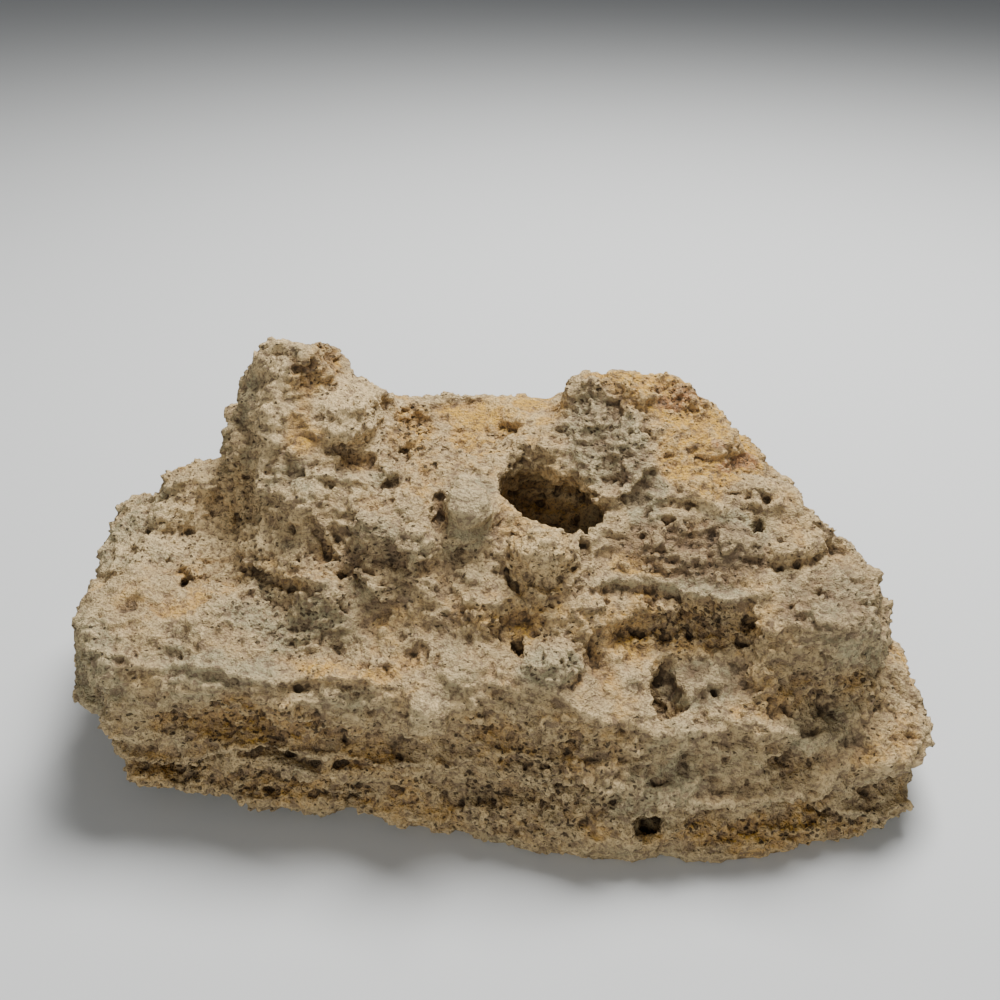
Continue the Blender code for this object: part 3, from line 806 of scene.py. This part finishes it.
# ---------------------------------------------------------------- the stone's material
class Nodes:
    """Shorthand for a material's node tree. All calls but feed add one node and give back its output."""

    def __init__(self, name):
        self.material = bpy.data.materials.new(name)
        self.material.use_nodes = True
        self.tree = self.material.node_tree
        self.shader = self.tree.nodes["Principled BSDF"]

    def feed(self, socket, value):
        if isinstance(value, bpy.types.NodeSocket):
            self.tree.links.new(value, socket)
        else:
            socket.default_value = value

    def add(self, kind, settings, inputs, output=0):
        made = self.tree.nodes.new(kind)
        for key, value in settings.items():
            setattr(made, key, value)
        for key, value in inputs.items():
            self.feed(made.inputs[key], value)
        return made.outputs[output]

    def math(self, operation, a, b=0.0):
        return self.add("ShaderNodeMath", {"operation": operation}, {0: a, 1: b})

    def ramp(self, value, low, high, start=0.0, end=1.0):
        return self.add("ShaderNodeMapRange", {"interpolation_type": "SMOOTHSTEP"},
                        {"Value": value, "From Min": low, "From Max": high, "To Min": start, "To Max": end})

    def attribute(self, name):
        return self.add("ShaderNodeAttribute", {"attribute_name": name}, {}, "Fac")

    def noise(self, size, detail, where, roughness, output="Fac"):
        inputs = {"Vector": where, "Scale": 1 / (size * MM), "Detail": detail, "Roughness": roughness}
        return self.add("ShaderNodeTexNoise", {}, inputs, output)

    def cells(self, size, where, output="Distance"):
        return self.add("ShaderNodeTexVoronoi", {}, {"Vector": where, "Scale": 1 / (size * MM)}, output)

    def mix(self, amount, a, b):
        made = self.tree.nodes.new("ShaderNodeMix")
        made.data_type, made.clamp_factor = "RGBA", True
        for key, value in ((0, amount), (6, a), (7, b)):
            self.feed(made.inputs[key], value)
        return made.outputs[2]


BEIGE = (0.56, 0.415, 0.215, 1)
OCHRE = (0.63, 0.40, 0.155, 1)
GOLD = (0.70, 0.41, 0.075, 1)
GREY = (0.46, 0.393, 0.228, 1)
CREAM = (0.82, 0.62, 0.33, 1)
RUST = (0.44, 0.20, 0.09, 1)
BROWN = (0.186, 0.116, 0.06, 1)
# Painted shade in pits.
PIT_SHADE = (0.35, 0.213, 0.12, 1)
SHADE = (0.195, 0.133, 0.083, 1)
# Painted shadow deep in pits and in pinholes.
PIT_SHADOW = (0.065, 0.045, 0.026, 1)

# The layered pattern is squeezed in height by LAYER_SCALE, and bent by up to LAYER_BEND.
LAYER_SCALE = 1.7
LAYER_BEND = 3.0
BUMP_DISTANCE = 1.0
SPECULAR_LEVEL = 0.25


def layered_place(t, where):
    """The place in the stone, slightly bent, with its height counted in growth layers."""
    warp = t.noise(2.4, 3, where, 0.5, "Color")
    layer = t.math("MULTIPLY", t.attribute("layer"), LAYER_SCALE * MM)
    x = t.add("ShaderNodeSeparateXYZ", {}, {"Vector": where}, "X")
    drawn = t.add("ShaderNodeCombineXYZ", {}, {"X": x, "Y": x.node.outputs["Y"], "Z": layer})
    return t.add("ShaderNodeVectorMath", {"operation": "MULTIPLY_ADD"},
                 {0: warp, 1: (LAYER_BEND * MM,) * 3, 2: drawn})


def crumbs(t, where, layered, steep):
    """Crumbs of about 3 mm, which are drawn out along the layers where the stone is steep."""
    lumps = t.noise(2.8, 4, where, 0.6)
    sheets = t.noise(4.0, 4, layered, 0.6)
    body = t.math("ADD", lumps, t.math("MULTIPLY", steep, t.math("SUBTRACT", sheets, lumps)))
    return t.ramp(body, 0.34, 0.66)


def pinholes(t, layered, pore):
    """Holes of up to 1 mm in radius, more and wider where the stone is porous."""
    distance = t.cells(2.2, layered)
    chance = t.ramp(t.cells(2.2, layered, "Color"), 0.0, 1.0, -1.5, 1.0)
    radius = t.ramp(t.math("ADD", pore, chance), -0.6, 1.6, 0.0, 0.46)
    return t.ramp(t.math("SUBTRACT", radius, distance), -0.05, 0.10)


def ground_colour(t, pale, warm, steep):
    colour = t.mix(t.ramp(warm, 0.0, 0.9), BEIGE, OCHRE)
    golden = t.math("MULTIPLY", t.ramp(warm, 0.3, 1.3), t.ramp(steep, 0.98, 0.5))
    colour = t.mix(golden, colour, GOLD)
    colour = t.mix(t.ramp(warm, 0.0, -0.8), colour, GREY)
    colour = t.mix(t.ramp(warm, 1.5, 2.2, 0.0, 0.75), colour, RUST)
    colour = t.mix(t.ramp(pale, 0.2, 1.4, 0.0, 0.85), colour, CREAM)
    return t.mix(t.ramp(pale, -0.2, -1.4, 0.0, 0.7), colour, BROWN)


def with_painted_light_and_shade(t, colour, crumble, grit, hole):
    """Painted light on what stands out, and painted shade in pits, between crumbs and in pinholes."""
    pit = t.attribute("pit")
    deep = t.math("SUBTRACT", pit, t.math("MULTIPLY", grit, 0.4))
    # Painted light where the skin stands out, and painted shade where it lies in a pit.
    colour = t.mix(t.ramp(pit, -0.1, -0.9, 0.0, 0.4), colour, CREAM)
    colour = t.mix(t.ramp(pit, 0.1, 1.0, 0.0, 0.4), colour, PIT_SHADE)
    # Painted shade between crumbs and between grains.
    colour = t.mix(t.ramp(crumble, 0.40, 0.0, 0.0, 0.75), colour, SHADE)
    colour = t.mix(t.ramp(grit, 0.36, 0.0, 0.0, 0.65), colour, SHADE)
    # Painted shadow, near black, deep in pits and in pinholes.
    colour = t.mix(t.ramp(deep, 0.4, 1.8, 0.0, 0.85), colour, PIT_SHADOW)
    return t.mix(t.math("MULTIPLY", hole, 0.85), colour, PIT_SHADOW)


def limestone():
    t = Nodes("limestone")
    where = t.add("ShaderNodeTexCoord", {}, {}, "Object")
    layered = layered_place(t, where)
    steep = t.attribute("steep")
    mottle = t.noise(10, 5, where, 0.65)
    crumble = crumbs(t, where, layered, steep)
    grit = t.ramp(t.noise(1.1, 3, where, 0.6), 0.36, 0.64)
    hole = pinholes(t, layered, t.attribute("pore"))
    pale = t.math("ADD", t.attribute("pale"), t.ramp(mottle, 0.35, 0.65, -0.4, 0.4))
    warm = t.math("ADD", t.attribute("warm"), t.ramp(t.noise(14, 4, where, 0.6), 0.35, 0.65, -0.4, 0.4))

    height = t.math("ADD", t.math("MULTIPLY", crumble, 0.9), t.math("MULTIPLY", grit, 0.45))
    height = t.math("SUBTRACT", height, t.math("MULTIPLY", hole, 0.8))
    bump = t.add("ShaderNodeBump", {}, {"Height": height, "Distance": BUMP_DISTANCE * MM, "Strength": 1.0})
    colour = with_painted_light_and_shade(t, ground_colour(t, pale, warm, steep), crumble, grit, hole)
    t.feed(t.shader.inputs["Base Color"], colour)
    t.feed(t.shader.inputs["Roughness"], t.ramp(mottle, 0.3, 0.7, 0.82, 0.96))
    t.feed(t.shader.inputs["Normal"], bump)
    t.feed(t.shader.inputs["Specular IOR Level"], SPECULAR_LEVEL)
    return t.material


mesh.materials.clear()
mesh.materials.append(limestone())

# ---------------------------------------------------------------- stage
# Places and lengths are in metres here.
FLOOR_HALF = 6
FLOOR_COLOUR = (0.62, 0.64, 0.65, 1)
FLOOR_ROUGHNESS = 0.8
SKY_COLOUR = (0.97, 0.98, 1.0, 1)
SKY_STRENGTH = 0.16
CLIP_START = 0.01
LAMP_TARGET = Vector((0, 0, 0.05))

# Place, size, power in watts, and colour.
LAMPS = {
    "key": ((0.25, 0.50, 1.15), 0.6, 33, (1, 0.98, 0.95)),
    "fill": ((-0.25, -1.35, 0.5), 1.0, 8.5, (1, 0.99, 0.96)),
}


def add_camera():
    camera = bpy.data.objects.new("camera", bpy.data.cameras.new("camera"))
    camera.location = Vector(CAMERA * MM)
    camera.rotation_euler = (math.radians(90) - PITCH, 0, 0)
    camera.data.sensor_width = SENSOR
    camera.data.lens = SENSOR * FOCUS / VIEW_WIDTH
    camera.data.clip_start = CLIP_START
    bpy.context.scene.collection.objects.link(camera)
    bpy.context.scene.camera = camera


def add_floor():
    floor_mesh = bpy.data.meshes.new("floor")
    shape = bmesh.new()
    bmesh.ops.create_grid(shape, x_segments=1, y_segments=1, size=FLOOR_HALF)
    shape.to_mesh(floor_mesh)
    shape.free()
    paint = bpy.data.materials.new("floor")
    paint.use_nodes = True
    shader = paint.node_tree.nodes["Principled BSDF"]
    shader.inputs["Base Color"].default_value = FLOOR_COLOUR
    shader.inputs["Roughness"].default_value = FLOOR_ROUGHNESS
    floor_mesh.materials.append(paint)
    floor = bpy.data.objects.new("floor", floor_mesh)
    bpy.context.scene.collection.objects.link(floor)


def add_sky():
    world = bpy.data.worlds.new("studio")
    world.use_nodes = True
    background = world.node_tree.nodes["Background"]
    background.inputs["Color"].default_value = SKY_COLOUR
    background.inputs["Strength"].default_value = SKY_STRENGTH
    bpy.context.scene.world = world


def add_lamp(name, spot, size, power, colour):
    lamp = bpy.data.objects.new(name, bpy.data.lights.new(name, "AREA"))
    lamp.data.energy = power
    lamp.data.size = size
    lamp.data.color = colour
    lamp.location = spot
    lamp.rotation_mode = "QUATERNION"
    lamp.rotation_quaternion = (LAMP_TARGET - Vector(spot)).to_track_quat("-Z", "Y")
    bpy.context.scene.collection.objects.link(lamp)


add_camera()
add_floor()
add_sky()
for name, settings in LAMPS.items():
    add_lamp(name, *settings)
